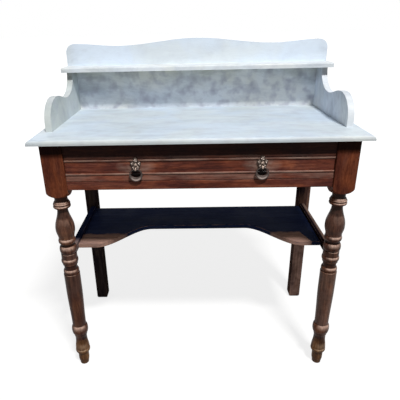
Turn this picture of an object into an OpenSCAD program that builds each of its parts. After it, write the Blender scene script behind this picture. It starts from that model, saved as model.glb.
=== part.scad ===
// Marble-topped washstand on turned front legs, with a moulded drawer on two ring pulls,
// an open undershelf with a shaped front and a marble splash that carries a narrow shelf.
// Millimetres. Z is up, the front faces -Y, the origin is on the floor under the plan's centre.

/* [Marble top] */
// Width of the marble top over its two moulded ends
top_width = 900; // [800:10:1100]
// Depth of the marble top, front edge to back edge
top_depth = 446; // [400:2:560]
// Thickness of the marble top
top_thickness = 14; // [12:1:24]
// Height of the marble top's upper face above the floor
top_height = 788; // [700:4:860]
// Height of the rounded upper part of the moulded edge
edge_height = 8; // [4:0.5:10]
// How far the moulded edge steps in from its lower arris
edge_inset = 8; // [4:0.5:12]

/* [Marble splash] */
// Thickness of the upright marble pieces
splash_thickness = 18; // [15:1:24]
// Height of the uprights, from the marble top to the narrow shelf
splash_height = 132; // [110:1:160]
// Distance of the side pieces behind the top's front edge
side_setback = 95; // [80:1:120]
// Height of the rounded lobe at the front of each side piece
lobe_height = 85; // [75:1:95]
// Height of the low point between the lobe and the shelf
waist_height = 66; // [55:1:72]
// Thickness of the narrow shelf
shelf_thickness = 14; // [12:1:24]
// Depth of the narrow shelf, from the back edge
shelf_depth = 98; // [80:1:130]
// How far the narrow shelf stands past the side pieces at each end
shelf_overhang = 12; // [6:1:20]
// How far the narrow shelf stands out in front of the side pieces' upper end
shelf_nosing = 23; // [12:1:30]
// Height of the crest's middle above the narrow shelf
crest_height = 80; // [60:1:110]
// How far the crest dips on each side of its middle
crest_dip = 20; // [10:1:28]
// How far the crest rises again to its shoulders
crest_shoulder = 9; // [4:1:16]
// Radius of the crest's upper corners
crest_corner = 28; // [12:1:40]
// Diameter of the iron dowels that pin the marble together
dowel_diameter = 6; // [4:0.5:8]

/* [Frame] */
// How far the marble stands past the frame at each end
end_overhang = 26; // [12:1:60]
// Distance of the leg blocks behind the marble's front edge
frame_setback = 21; // [12:1:34]
// Side of the square block at the head of each turned leg
block_size = 60; // [50:1:70]
// Height of that block, down to the middle of its rounded shoulder
block_height = 140; // [132:1:160]
// Side of the square back legs
back_leg_size = 42; // [36:1:56]
// How far the back legs stand in from the outer face of the leg blocks
back_leg_setback = 2; // [0:0.5:4]
// Radius of the rounded foot of the back legs
foot_round = 10; // [3:0.5:14]
// Height of the aprons
apron_height = 134; // [124:1:136]
// Thickness of the side and back aprons
apron_thickness = 18; // [14:1:22]
// How far the rails and the drawer stand behind the face of the leg blocks
rail_setback = 5; // [2:0.5:8]
// Height of the rail over the drawer
top_rail_height = 39; // [28:1:43]
// Height of the rail under the drawer
bottom_rail_height = 25; // [20:1:30]
// Thickness of the rail over the drawer
rail_thickness = 20; // [18:1:24]

/* [Turned legs] */
// Radius of the beads
bead_radius = 25.8; // [23:0.1:28]
// Radius of the vase at its widest
vase_radius = 27.8; // [24:0.1:29]
// Radius of the plain drum that takes the stretcher
drum_radius = 23.3; // [20:0.1:25]
// Radius of the long shaft at its upper end
shaft_radius = 24.4; // [20:0.1:26]
// Radius of the necks beside the beads
neck_radius = 16.5; // [14:0.1:19]
// Radius of the narrow grooves between the members
groove_radius = 20.6; // [17:0.1:23]
// Radius of the peg foot
peg_radius = 17; // [14:0.1:19]

/* [Undershelf] */
// Thickness of the undershelf
undershelf_thickness = 14; // [12:1:16]
// Distance of the undershelf's front lobes behind the marble's front edge
undershelf_setback = 126; // [110:1:160]
// Depth of the hollow in the undershelf's front
hollow_depth = 125; // [80:1:150]
// Half width of the level part of that hollow
hollow_half = 160; // [120:1:200]
// Width of each curved side of the hollow
hollow_sweep = 170; // [120:1:185]
// Thickness of the stretchers between front and back legs
stretcher_thickness = 18; // [14:1:22]
// Height of the stretchers
stretcher_height = 24; // [20:1:26]

/* [Drawer] */
// Thickness of the drawer front
front_thickness = 20; // [18:1:24]
// Thickness of the drawer sides and back
side_thickness = 11; // [9:1:14]
// Thickness of the drawer bottom
bottom_thickness = 6; // [4:1:8]
// Clearance round the drawer
drawer_gap = 1; // [0.5:0.25:2]

/* [Ring pulls] */
// Distance of each pull from the middle of the drawer
pull_offset = 170; // [120:1:220]
// Outer radius of the ring
ring_radius = 18.5; // [15:0.1:22]
// Thickness of the ring where it passes the eye
ring_top = 3.8; // [3:0.1:5]
// Thickness of the ring at its sides
ring_side = 4.9; // [3.5:0.1:7]
// Thickness of the ring at its foot
ring_foot = 12.6; // [8:0.1:15]
// Play of the ring in its eye
eye_gap = 0.5; // [0.4:0.1:0.8]
// Diameter of the bolt that holds each pull
bolt_diameter = 5; // [4:0.5:6]

/* [Hidden] */
$fn = 48;

// Planes of the frame
front = -top_depth / 2;
back = top_depth / 2;
frame_top = top_height - top_thickness;
half = top_width / 2 - end_overhang;
block_front = front + frame_setback;
block_back = block_front + block_size;
block_in = half - block_size;
leg_x = half - block_size / 2;
leg_y = block_front + block_size / 2;
leg_back = back - 2;
leg_front = leg_back - back_leg_size;
leg_out = half - back_leg_setback;
leg_in = leg_out - back_leg_size;
apron_low = frame_top - apron_height;
apron_out = half - 4;
apron_in = apron_out - apron_thickness;
back_apron_out = leg_back - 2;
back_apron_in = back_apron_out - apron_thickness;
rail_front = block_front + rail_setback;
opening_top = frame_top - top_rail_height;
opening_low = apron_low + bottom_rail_height;

// Mortise and tenon joints
tenon_thickness = 8;
tenon_length = 22;
tenon_shoulder = 14;
rail_shoulder = 6;

// Turned leg: the heights of its members follow the length below the block
turn = frame_top - block_height;
unit = turn / 634;
drum_low = 413 * unit;
drum_high = 429 * unit;

// Stretchers and undershelf
drum_margin = 4;
stretcher_high = drum_high - drum_margin;
stretcher_low = stretcher_high - stretcher_height;
stretcher_in = leg_x - stretcher_thickness / 2;
stretcher_out = leg_x + stretcher_thickness / 2;
undershelf_front = front + undershelf_setback;
undershelf_lap = 2;
undershelf_back = leg_front + undershelf_lap;
tongue_depth = 6;
tongue_shoulder = 3;
tongue_low = stretcher_low + tongue_shoulder;
tongue_high = stretcher_low + undershelf_thickness - tongue_shoulder;
cope_gap = 0.1;
stretcher_front = leg_y + 0.42 * drum_radius;
stretcher_tenon_front = leg_y + 0.3 * drum_radius;
stretcher_shoulder = 4;
cheek = 5;

// Marble splash
side_in = half - splash_thickness;
back_in = back - splash_thickness;
side_front = front + side_setback;
nose_front = back - shelf_depth + shelf_nosing;
shelf_low = top_height + splash_height;
shelf_top = shelf_low + shelf_thickness;
crest_half = half + 10;
crest_dip_x = crest_half * 0.6;
dowel_cover = 4;
dowel_depth = top_thickness - dowel_cover;
dowel_play = 0.1;
dowel_rows = [
    for (s = [-1, 1], y = [side_front + 60, back_in - 70])
        [s * (half - splash_thickness / 2), y, top_height, top_height],
    for (x = [-0.7, 0, 0.7]) [x * half, back - splash_thickness / 2, top_height, top_height],
    for (x = [-0.8, 0, 0.8])
        [x * crest_half, back - splash_thickness / 2, shelf_low, shelf_top]
];

// Drawer
front_half = block_in - drawer_gap;
front_low = opening_low + drawer_gap;
front_high = opening_top - drawer_gap;
front_back = rail_front + front_thickness;
drawer_back_out = back_apron_in - 12;
drawer_in = front_half - side_thickness;
side_high = opening_top - 3;
bottom_low = opening_low + 9;
bottom_high = bottom_low + bottom_thickness;
groove = 5;
tail_cover = 7;
tail_length = front_thickness - tail_cover;
tail_pitch = (side_high - opening_low) / 3;
tail_waist = tail_pitch / 4;
tail_end = 1.45 * tail_waist;
stop_height = 6;
stop_length = 40;
runner_height = 20;
runner_overlap = 19;
runner_in = block_in - runner_overlap;
corner_block_height = 30;
corner_block_short = 3;

// Ring pulls
field_depth = 3;
face_height = front_high - front_low;
plate_thickness = 2.5;
plate_z = front_low + 0.685 * face_height;
eye_drop = 11;
eye_reach = 8;
eye_z = plate_z - eye_drop;
eye_y = rail_front - eye_reach;
eye_radius = ring_top / 2 + eye_gap;
eye_wall = 2.1;
eye_half = 2.5;
head_radius = 4.6;
head_height = 2.6;
eye_height = plate_z - eye_z - head_radius - 0.4;
ring_z = eye_z - ring_radius + ring_top / 2;
nut_size = 10;
nut_height = 4;

// ---- helpers ----

// A box from its six planes
module box(x0, x1, y0, y1, z0, z1)
    translate([x0, y0, z0]) cube([x1 - x0, y1 - y0, z1 - z0]);

// An outline in Y and Z, drawn out along X
module along_x(x0, x1)
    translate([x0, 0, 0]) rotate([90, 0, 90]) linear_extrude(x1 - x0) children();

// An outline in X and Z, drawn out along Y
module along_y(y0, y1)
    translate([0, y1, 0]) rotate([90, 0, 0]) linear_extrude(y1 - y0) children();

// The same piece on the other side
module mirrored() mirror([1, 0, 0]) children();

// Points on an arc of an ellipse
function arc(cx, cy, rx, ry, a0, a1, n) =
    [for (i = [0:n]) let (a = a0 + (a1 - a0) * i / n) [cx + rx * cos(a), cy + ry * sin(a)]];

// Points on a smooth S between two points, level at both ends in the first direction
function sweep(x0, y0, x1, y1, n) =
    [for (i = [0:n]) let (t = i / n) [x0 + (x1 - x0) * t, y1 + (y0 - y1) * (1 + cos(180 * t)) / 2]];

// The other half of an outline that starts on the middle line
function other_half(p) = [for (i = [len(p) - 1:-1:1]) [-p[i][0], p[i][1]]];

// Members of a turning, as [radius, height] points from the bottom up
function bead(z0, z1, r_edge, r_max) =
    [for (i = [0:8]) let (a = 22.5 * i)
        [r_edge + (r_max - r_edge) * sin(a), ((z0 + z1) / 2 - (z1 - z0) / 2 * cos(a)) * unit]];
function swell(z0, r0, z1, r1) =
    [for (i = [0:8]) let (t = i / 8)
        [r1 + (r0 - r1) * (1 + cos(180 * t)) / 2, (z0 + (z1 - z0) * t) * unit]];
function plain(z0, r0, z1, r1) = [[r0, z0 * unit], [r1, z1 * unit]];

// ---- marble ----

// Edge of the top: an upright fillet with a rounded moulding over it
function edge_profile(w0, w1, low, high, round_end) = concat(
    [[w0, low], [w1, low], [w1, high - edge_height]],
    arc(w1 - edge_inset, high - edge_height, edge_inset - 1, edge_height - 1, 0, 90, 8),
    [[w1 - edge_inset, high]],
    round_end
        ? concat([[w0 + edge_inset, high]],
            arc(w0 + edge_inset, high - edge_height, edge_inset - 1, edge_height - 1, 90, 180, 8))
        : [[w0, high]],
    round_end ? [[w0, high - edge_height]] : []
);

module dowels(play, depth)
    for (d = dowel_rows)
        translate([d[0], d[1], d[2] - depth])
            cylinder(d = dowel_diameter + 2 * play, h = d[3] - d[2] + 2 * depth);

module marble_top() color([0.86, 0.89, 0.92])
    difference() {
        intersection() {
            along_y(front, back)
                polygon(edge_profile(-top_width / 2, top_width / 2, frame_top, top_height, true));
            along_x(-top_width / 2, top_width / 2)
                mirror([1, 0]) polygon(edge_profile(-back, -front, frame_top, top_height, false));
        }
        dowels(dowel_play, dowel_depth);
    }

module splash_back() color([0.84, 0.87, 0.9])
    difference() {
        box(-half, half, back_in, back, top_height, shelf_low);
        dowels(dowel_play, dowel_depth);
    }

// Side piece: rounded lobe in front, a waist, then a hollow that climbs to the shelf
module splash_right() color([0.84, 0.87, 0.9])
    difference() {
        along_x(side_in, half) polygon(concat(
            [[back_in, top_height], [side_front, top_height]],
            arc(side_front + 77, top_height + 20, 77, lobe_height - 20, 180, 90, 14),
            sweep(side_front + 83, top_height + lobe_height,
                nose_front - 89, top_height + waist_height, 10),
            arc(nose_front - 89, shelf_low, 89, splash_height - waist_height, -90, 0, 14),
            [[back_in, shelf_low]]
        ));
        dowels(dowel_play, dowel_depth);
    }

module splash_left() color([0.84, 0.87, 0.9]) mirrored() splash_right();

module splash_shelf() color([0.86, 0.89, 0.92])
    difference() {
        intersection() {
            box(-half - shelf_overhang, half + shelf_overhang,
                back - shelf_depth, back, shelf_low, shelf_top);
            along_x(-half - shelf_overhang, half + shelf_overhang) polygon(concat(
                [[back, shelf_low], [back - shelf_depth, shelf_low]],
                arc(back - shelf_depth + 4, shelf_top - 4, 4, 4, 180, 90, 4),
                [[back, shelf_top]]
            ));
        }
        dowels(dowel_play, dowel_depth);
    }

// Right half of the crest's upper edge, from the middle to the rounded corner
crest_top = shelf_top + crest_height;
crest_low = crest_top - crest_dip;
crest_edge = concat(
    sweep(0, crest_top, crest_dip_x, crest_low, 16),
    sweep(crest_dip_x, crest_low, crest_half - crest_corner, crest_low + crest_shoulder, 8),
    arc(crest_half - crest_corner, crest_low + crest_shoulder - crest_corner,
        crest_corner, crest_corner, 90, 0, 8)
);

module splash_crest() color([0.86, 0.89, 0.92])
    difference() {
        along_y(back_in, back)
            polygon(concat([[-crest_half, shelf_top]], other_half(crest_edge), crest_edge,
                [[crest_half, shelf_top]]));
        dowels(dowel_play, dowel_depth);
    }

module splash_dowels() color([0.3, 0.3, 0.31]) dowels(0, dowel_depth);

// ---- legs ----

// Turned part, floor to neck: peg foot, lip, shaft, drum between beads, vase, collar
bead_edge = 0.83 * bead_radius;
fillet_radius = 0.87 * bead_radius;
small_bead = 0.91 * bead_radius;
drum_bead = 0.98 * bead_radius;
ankle_radius = 1.12 * neck_radius;
shaft_foot = 0.875 * shaft_radius;
vase_neck = 0.55 * vase_radius;
leg_profile = concat(
    [[0, 0]],
    swell(0, 0.82 * peg_radius, 22, peg_radius),
    swell(34, peg_radius, 49.5, 1.07 * peg_radius),
    bead(50, 64, groove_radius, small_bead),
    swell(64.5, fillet_radius, 103, ankle_radius),
    swell(109, ankle_radius, 126, bead_edge),
    bead(127, 159, bead_edge, bead_radius),
    plain(160, groove_radius, 161.5, groove_radius),
    swell(162, shaft_foot, 300, shaft_radius),
    plain(330, shaft_radius, 357, shaft_radius),
    plain(357.5, groove_radius, 358.5, groove_radius),
    bead(359, 374, groove_radius, small_bead),
    plain(375, 0.94 * groove_radius, 390, 0.94 * groove_radius),
    plain(391.5, fillet_radius, 396, fillet_radius),
    bead(397, 412, fillet_radius, drum_bead),
    plain(413, drum_radius, 429, drum_radius),
    plain(429.5, bead_edge, 431, bead_edge),
    bead(431.5, 455, bead_edge, drum_bead),
    plain(456, 0.87 * groove_radius, 463, 0.87 * groove_radius),
    bead(464, 481, groove_radius, 0.97 * bead_radius),
    swell(482, 0.83 * vase_radius, 509, vase_radius),
    swell(515, vase_radius, 574, vase_neck),
    swell(575, vase_neck, 580, fillet_radius),
    bead(580.5, 588, fillet_radius, 0.97 * bead_radius),
    bead(588.5, 595, fillet_radius, 0.95 * bead_radius),
    swell(595.5, fillet_radius, 605, ankle_radius),
    plain(610, ankle_radius, 617, ankle_radius),
    [[0, 617 * unit]]
);

// Rounded shoulder that brings the square block down to the neck
shoulder_low = 616 * unit;
shoulder_high = 648 * unit;
shoulder_spare = 1.9;
shoulder_reach = block_size / sqrt(2) - ankle_radius + shoulder_spare;
shoulder_profile = concat(
    [[0, shoulder_low]],
    arc(ankle_radius, shoulder_high, shoulder_reach, shoulder_high - shoulder_low, -90, 0, 12),
    [[block_size, shoulder_high], [block_size, frame_top], [0, frame_top]]
);

module stretcher_tenon(y0, y1)
    box(leg_x - tenon_thickness / 2, leg_x + tenon_thickness / 2, y0, y1,
        stretcher_low + stretcher_shoulder, stretcher_high - stretcher_shoulder);

module apron_tenons()
    box(apron_in + cheek, apron_out - cheek, block_back - tenon_length, leg_front + tenon_length,
        apron_low + tenon_shoulder, frame_top - tenon_shoulder);

module back_apron_tenons()
    box(-leg_in - tenon_length, leg_in + tenon_length,
        back_apron_in + cheek, back_apron_out - cheek,
        apron_low + tenon_shoulder, frame_top - tenon_shoulder);

module top_rail_tenons()
    box(-block_in - tenon_length, block_in + tenon_length, rail_front + rail_shoulder,
        rail_front + rail_shoulder + tenon_thickness, opening_top + rail_shoulder,
        frame_top - rail_shoulder);

module bottom_rail_tenons()
    box(-block_in - tenon_length, block_in + tenon_length, rail_front + 2 * rail_shoulder,
        block_back - 2 * rail_shoulder, apron_low + rail_shoulder, opening_low - rail_shoulder);

module front_leg_right() color([0.42, 0.25, 0.17])
    difference() {
        union() {
            translate([leg_x, leg_y, 0]) {
                rotate_extrude() polygon(leg_profile);
                intersection() {
                    rotate_extrude() polygon(shoulder_profile);
                    translate([-block_size / 2, -block_size / 2, shoulder_low])
                        cube([block_size, block_size, frame_top - shoulder_low]);
                }
            }
        }
        stretcher_tenon(stretcher_tenon_front, leg_y + bead_radius);
        apron_tenons();
        top_rail_tenons();
        bottom_rail_tenons();
    }

module front_leg_left() color([0.42, 0.25, 0.17]) mirrored() front_leg_right();

// Outline of a square back leg, rounded at the foot
function post(a, b) = concat(
    arc(a + foot_round, foot_round, foot_round, foot_round, 180, 270, 5),
    arc(b - foot_round, foot_round, foot_round, foot_round, 270, 360, 5),
    [[b, frame_top], [a, frame_top]]
);

module back_leg_right() color([0.3, 0.2, 0.15])
    difference() {
        intersection() {
            along_y(leg_front, leg_back) polygon(post(leg_in, leg_out));
            along_x(leg_in, leg_out) polygon(post(leg_front, leg_back));
        }
        stretcher_tenon(leg_front - 1, leg_front + tenon_length);
        apron_tenons();
        back_apron_tenons();
    }

module back_leg_left() color([0.3, 0.2, 0.15]) mirrored() back_leg_right();

// ---- aprons and rails ----

module side_apron_right() color([0.38, 0.2, 0.13]) {
    box(apron_in, apron_out, block_back, leg_front, apron_low, frame_top);
    apron_tenons();
}

module side_apron_left() color([0.38, 0.2, 0.13]) mirrored() side_apron_right();

module back_apron() color([0.34, 0.2, 0.14]) {
    box(-leg_in, leg_in, back_apron_in, back_apron_out, apron_low, frame_top);
    back_apron_tenons();
}

module top_rail() color([0.38, 0.2, 0.13]) {
    box(-block_in, block_in, rail_front, rail_front + rail_thickness, opening_top, frame_top);
    top_rail_tenons();
}

module bottom_rail() color([0.4, 0.21, 0.14]) {
    box(-block_in, block_in, rail_front, block_back, apron_low, opening_low);
    bottom_rail_tenons();
}

// ---- what the drawer runs in ----

module drawer_runner_right() color([0.5, 0.36, 0.24])
    box(runner_in, apron_in, block_back, leg_front, opening_low - runner_height, opening_low);

module drawer_runner_left() color([0.5, 0.36, 0.24]) mirrored() drawer_runner_right();

module drawer_guide_right() color([0.5, 0.36, 0.24])
    box(block_in, apron_in, block_back, leg_front, opening_low, opening_low + runner_height);

module drawer_guide_left() color([0.5, 0.36, 0.24]) mirrored() drawer_guide_right();

module drawer_kicker_right() color([0.5, 0.36, 0.24])
    box(runner_in, apron_in, block_back, leg_front, opening_top, opening_top + runner_height);

module drawer_kicker_left() color([0.5, 0.36, 0.24]) mirrored() drawer_kicker_right();

module drawer_stops() color([0.5, 0.36, 0.24])
    for (s = [-1, 1])
        translate([s * block_in * 0.6 - stop_length / 2, front_back, opening_low])
            cube([stop_length, 2 * stop_height, stop_height]);

// Glued three-cornered blocks in the four upper corners
module corner_block(x, y, leg)
    translate([x, y, frame_top - corner_block_height]) linear_extrude(corner_block_height)
        polygon([[0, 0], [-abs(leg), 0], [0, leg]]);

module corner_blocks() color([0.5, 0.36, 0.24])
    for (s = [0, 1]) mirror([s, 0, 0]) {
        corner_block(block_in, rail_front + rail_thickness,
            block_back - rail_front - rail_thickness - corner_block_short);
        corner_block(leg_in, back_apron_in, leg_front - back_apron_in + corner_block_short);
    }

// ---- undershelf ----

// What the front end of a stretcher is hollowed to: the drum, and the bead below it
module cope()
    translate([leg_x, leg_y, 0]) {
        translate([0, 0, stretcher_low - 1])
            cylinder(r = max(bead_radius, drum_radius) + cope_gap, h = drum_low - stretcher_low + 1);
        translate([0, 0, drum_low - 1])
            cylinder(r = drum_radius + cope_gap, h = stretcher_high - drum_low + 2);
    }

module stretcher_right() color([0.36, 0.22, 0.16]) {
    difference() {
        box(stretcher_in, stretcher_out, stretcher_front, leg_front, stretcher_low, stretcher_high);
        cope();
        box(stretcher_in - 1, stretcher_in + tongue_depth, undershelf_front, leg_front,
            tongue_low, tongue_high);
    }
    difference() {
        stretcher_tenon(stretcher_tenon_front, leg_front + tenon_length);
        box(stretcher_in - 1, stretcher_in + tongue_depth, undershelf_front, leg_front,
            tongue_low, tongue_high);
    }
}

module stretcher_left() color([0.36, 0.22, 0.16]) mirrored() stretcher_right();

// Right half of the undershelf's outline: a hollow in the front between two lobes,
// and a notch round the back leg
undershelf_half = concat(
    [[0, undershelf_front + hollow_depth]],
    sweep(hollow_half, undershelf_front + hollow_depth,
        hollow_half + hollow_sweep, undershelf_front, 18),
    [[stretcher_in, undershelf_front], [stretcher_in, leg_front],
     [leg_in, leg_front], [leg_in, undershelf_back]]
);

module undershelf() color([0.33, 0.2, 0.15]) {
    translate([0, 0, stretcher_low]) linear_extrude(undershelf_thickness)
        polygon(concat(undershelf_half, other_half(undershelf_half)));
    for (s = [0, 1]) mirror([s, 0, 0])
        box(stretcher_in - 1, stretcher_in + tongue_depth, undershelf_front, leg_front,
            tongue_low, tongue_high);
}

// ---- drawer ----

// Face of the drawer front: sloped foot, bead, sunk field, bead, head
function face_z(t) = front_low + t * face_height;
bead_size = face_height * 0.055;
field_y = rail_front + field_depth;
head_y = rail_front + 1.6;
face_profile = concat(
    [[front_back, front_low], [rail_front + 1, front_low], [rail_front, front_low + 1],
     [rail_front, face_z(0.06)], [rail_front + 2, face_z(0.215)]],
    arc(field_y + 0.8, face_z(0.285), 3.8, bead_size, 270, 90, 8),
    [[field_y, face_z(0.355)], [field_y, face_z(0.78)]],
    arc(field_y + 0.8, face_z(0.85), 3.8, bead_size, 270, 90, 8),
    [[head_y, face_z(0.92)], [head_y, front_high], [front_back, front_high]]
);

// Dovetails on the front ends of the drawer sides
module tails()
    along_x(drawer_in, front_half)
        for (i = [0:2]) let (z = opening_low + tail_pitch * (i + 0.5))
            polygon([[front_back + 1, z - tail_waist], [front_back, z - tail_waist],
                [front_back - tail_length, z - tail_end], [front_back - tail_length, z + tail_end],
                [front_back, z + tail_waist], [front_back + 1, z + tail_waist]]);

module bolt_holes(play)
    for (s = [-1, 1])
        translate([s * pull_offset, 0, plate_z]) rotate([-90, 0, 0])
            translate([0, 0, rail_front - 10])
                cylinder(d = bolt_diameter + 2 * play, h = front_thickness + 30);

module drawer_front() color([0.42, 0.2, 0.13])
    difference() {
        along_x(-front_half, front_half) polygon(face_profile);
        tails();
        mirrored() tails();
        box(-drawer_in, drawer_in, front_back - groove, front_back + 1, bottom_low, bottom_high);
        bolt_holes(0.2);
    }

module drawer_side_right() color([0.55, 0.42, 0.28])
    difference() {
        union() {
            box(drawer_in, front_half, front_back, drawer_back_out, opening_low, side_high);
            tails();
        }
        box(drawer_in - 1, drawer_in + groove, front_back, drawer_back_out + 1,
            bottom_low, bottom_high);
    }

module drawer_side_left() color([0.55, 0.42, 0.28]) mirrored() drawer_side_right();

module drawer_back() color([0.55, 0.42, 0.28])
    box(-drawer_in, drawer_in, drawer_back_out - side_thickness, drawer_back_out,
        bottom_high, side_high - 6);

module drawer_bottom() color([0.58, 0.45, 0.3]) {
    box(-drawer_in - groove, drawer_in + groove, front_back, drawer_back_out,
        bottom_low, bottom_high);
    box(-drawer_in, drawer_in, front_back - groove, front_back + 1, bottom_low, bottom_high);
}

// ---- ring pulls ----

// Leafy outline of the plate: five lobes, the upper one drawn out to a point
leaf_waist = 10.5;
leaf_lobe = 5;
function leaf_radius(a) = (leaf_waist + leaf_lobe * abs(cos(2.5 * (a - 90))))
    * (1 + 0.3 * pow(max(0, sin(a)), 6));

module pull_plate(x)
    translate([x, 0, 0]) difference() {
        union() {
            along_y(rail_front - plate_thickness, rail_front)
                polygon([for (a = [0:6:354]) let (r = leaf_radius(a))
                    [r * cos(a), plate_z + r * sin(a)]]);
            translate([0, 0, plate_z]) rotate([-90, 0, 0])
                translate([0, 0, rail_front - 1]) cylinder(r = 6.5, h = field_depth + 1);
            along_x(-eye_half, eye_half) {
                translate([eye_y, eye_z]) circle(r = eye_radius + eye_wall);
                translate([eye_y, eye_z]) square([rail_front - eye_y - 1, eye_height]);
            }
        }
        along_x(-eye_half - 1, eye_half + 1) translate([eye_y, eye_z]) circle(r = eye_radius);
        translate([0, 0, plate_z]) rotate([-90, 0, 0])
            translate([0, 0, rail_front - 10]) cylinder(d = bolt_diameter + 0.4, h = 20);
    }

module pull_plate_right() color([0.5, 0.4, 0.24]) pull_plate(pull_offset);

module pull_plate_left() color([0.5, 0.4, 0.24]) pull_plate(-pull_offset);

module pull_bolts() color([0.52, 0.42, 0.26])
    for (s = [-1, 1])
        translate([s * pull_offset, rail_front - plate_thickness, plate_z]) rotate([90, 0, 0])
            rotate_extrude() polygon(concat(
                [[0, -front_thickness - plate_thickness - nut_height - 1.5]],
                [[bolt_diameter / 2, -front_thickness - plate_thickness - nut_height - 1.5]],
                [[bolt_diameter / 2, 0]],
                arc(0, 0, head_radius, head_height, 0, 90, 6)
            ));

module pull_nuts() color([0.35, 0.33, 0.3])
    for (s = [-1, 1])
        difference() {
            translate([s * pull_offset - nut_size / 2, front_back, plate_z - nut_size / 2])
                cube([nut_size, nut_height, nut_size]);
            bolt_holes(0.05);
        }

// Ring: round outside, its opening an oval set high, so that it is slim where it hangs in the
// eye and thick at its foot
ring_steps = 40;
ring_sides = 10;
hole_wide = ring_radius - ring_side;
hole_high = ring_radius - (ring_top + ring_foot) / 2;
hole_rise = (ring_foot - ring_top) / 2;
function rim(a) = ring_radius * [sin(a), cos(a)];
function hole(a) = [hole_wide * sin(a), hole_rise + hole_high * cos(a)];
function ring_deep(a) = ring_top / 2 + 0.9 * (1 - cos(a)) / 2;
function ring_point(a, b) = let (p = (rim(a) + hole(a)) / 2 + (rim(a) - hole(a)) / 2 * cos(b))
    [p[0], ring_deep(a) * sin(b), p[1]];

module ring(x)
    translate([x, eye_y, ring_z]) polyhedron(
        points = [for (i = [0:ring_steps - 1], j = [0:ring_sides - 1])
            ring_point(360 * i / ring_steps, 360 * j / ring_sides)],
        faces = [for (i = [0:ring_steps - 1], j = [0:ring_sides - 1])
            let (k = (i + 1) % ring_steps, l = (j + 1) % ring_sides)
                [i * ring_sides + j, i * ring_sides + l, k * ring_sides + l, k * ring_sides + j]]
    );

module pull_ring_right() color([0.42, 0.36, 0.28]) ring(pull_offset);

module pull_ring_left() color([0.42, 0.36, 0.28]) ring(-pull_offset);

// ---- assembly ----

marble_top();
splash_back();
splash_left();
splash_right();
splash_shelf();
splash_crest();
splash_dowels();
front_leg_left();
front_leg_right();
back_leg_left();
back_leg_right();
side_apron_left();
side_apron_right();
back_apron();
top_rail();
bottom_rail();
drawer_runner_left();
drawer_runner_right();
drawer_guide_left();
drawer_guide_right();
drawer_kicker_left();
drawer_kicker_right();
drawer_stops();
corner_blocks();
stretcher_left();
stretcher_right();
undershelf();
drawer_front();
drawer_side_left();
drawer_side_right();
drawer_back();
drawer_bottom();
pull_plate_left();
pull_plate_right();
pull_bolts();
pull_nuts();
pull_ring_left();
pull_ring_right();
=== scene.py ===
# A washstand with a marble top, in the order it is put together: turned and square legs, aprons
# and rails, what the drawer runs in, stretchers and undershelf, drawer and ring pulls, marble.
# Metres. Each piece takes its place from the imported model.
import math

import bmesh
import bpy
from mathutils import Matrix, Vector


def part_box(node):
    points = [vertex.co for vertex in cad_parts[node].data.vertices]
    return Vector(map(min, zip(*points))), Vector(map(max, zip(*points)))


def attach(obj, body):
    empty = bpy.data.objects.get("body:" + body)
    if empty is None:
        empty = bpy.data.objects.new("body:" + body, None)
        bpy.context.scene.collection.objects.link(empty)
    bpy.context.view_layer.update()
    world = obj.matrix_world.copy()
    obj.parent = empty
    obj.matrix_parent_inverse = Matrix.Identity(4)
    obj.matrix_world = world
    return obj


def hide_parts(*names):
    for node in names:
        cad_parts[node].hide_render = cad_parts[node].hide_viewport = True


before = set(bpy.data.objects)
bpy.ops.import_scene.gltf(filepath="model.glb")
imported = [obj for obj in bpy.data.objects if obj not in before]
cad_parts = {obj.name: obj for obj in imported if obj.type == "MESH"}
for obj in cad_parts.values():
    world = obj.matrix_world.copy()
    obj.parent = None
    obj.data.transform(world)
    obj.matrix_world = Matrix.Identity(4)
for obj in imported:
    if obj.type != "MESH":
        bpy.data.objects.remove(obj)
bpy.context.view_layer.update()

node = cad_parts

# ---- Front legs ----
# Each front leg is one length of wood, turned between centres below the square block at its head,
# then stained. It is darker in the necks, and the upper front of each bead is paler: rubbed where
# it stands proud, and painted with a highlight on the faces turned towards the lamp.


def add(tree, kind, feeds=(), **settings):
    """Adds a node; each feed is an input and the number, colour or socket that goes in."""
    made = tree.nodes.new(kind)
    for name, value in settings.items():
        setattr(made, name, value)
    for where, what in feeds:
        if isinstance(what, bpy.types.NodeSocket):
            tree.links.new(what, made.inputs[where])
        else:
            made.inputs[where].default_value = what
    return made


def sums(tree, how, a, b=0.0):
    """One step of arithmetic on two values."""
    return add(tree, "ShaderNodeMath", [(0, a), (1, b)], operation=how).outputs[0]


def times(tree, a, b):
    """The product of two values."""
    return sums(tree, "MULTIPLY", a, b)


def larger(tree, a, b):
    """The larger of two values."""
    return sums(tree, "MAXIMUM", a, b)


def between(tree, value, low, high, to_low=0.0, to_high=1.0):
    """Brings the values from low to high over to another range, and holds them in it."""
    return add(tree, "ShaderNodeMapRange", [("Value", value), ("From Min", low), ("From Max", high),
                                            ("To Min", to_low), ("To Max", to_high)]).outputs[0]


def split(tree, vector):
    """The x, y and z of a place or a direction."""
    return add(tree, "ShaderNodeSeparateXYZ", [(0, vector)]).outputs


def grows(along, low, high):
    """A share along one axis, none at the first plane and full at the second."""
    return lambda tree, place: between(tree, split(tree, place)["xyz".index(along)], low, high)


def noise(tree, where, scale, detail=3.0, rough=0.5, swirl=0.0):
    """Soft random patches, so many to the metre."""
    return add(tree, "ShaderNodeTexNoise", [("Vector", where), ("Scale", scale), ("Detail", detail),
                                            ("Roughness", rough), ("Distortion", swirl)]).outputs[0]


def tint(tree, share, below, above, how="MIX"):
    """Lays one colour over another by a share."""
    return add(tree, "ShaderNodeMix", [(0, share), (6, below), (7, above)],
               data_type="RGBA", blend_type=how).outputs[2]


def colour(r, g, b):
    """An opaque colour."""
    return (r, g, b, 1.0)


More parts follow.
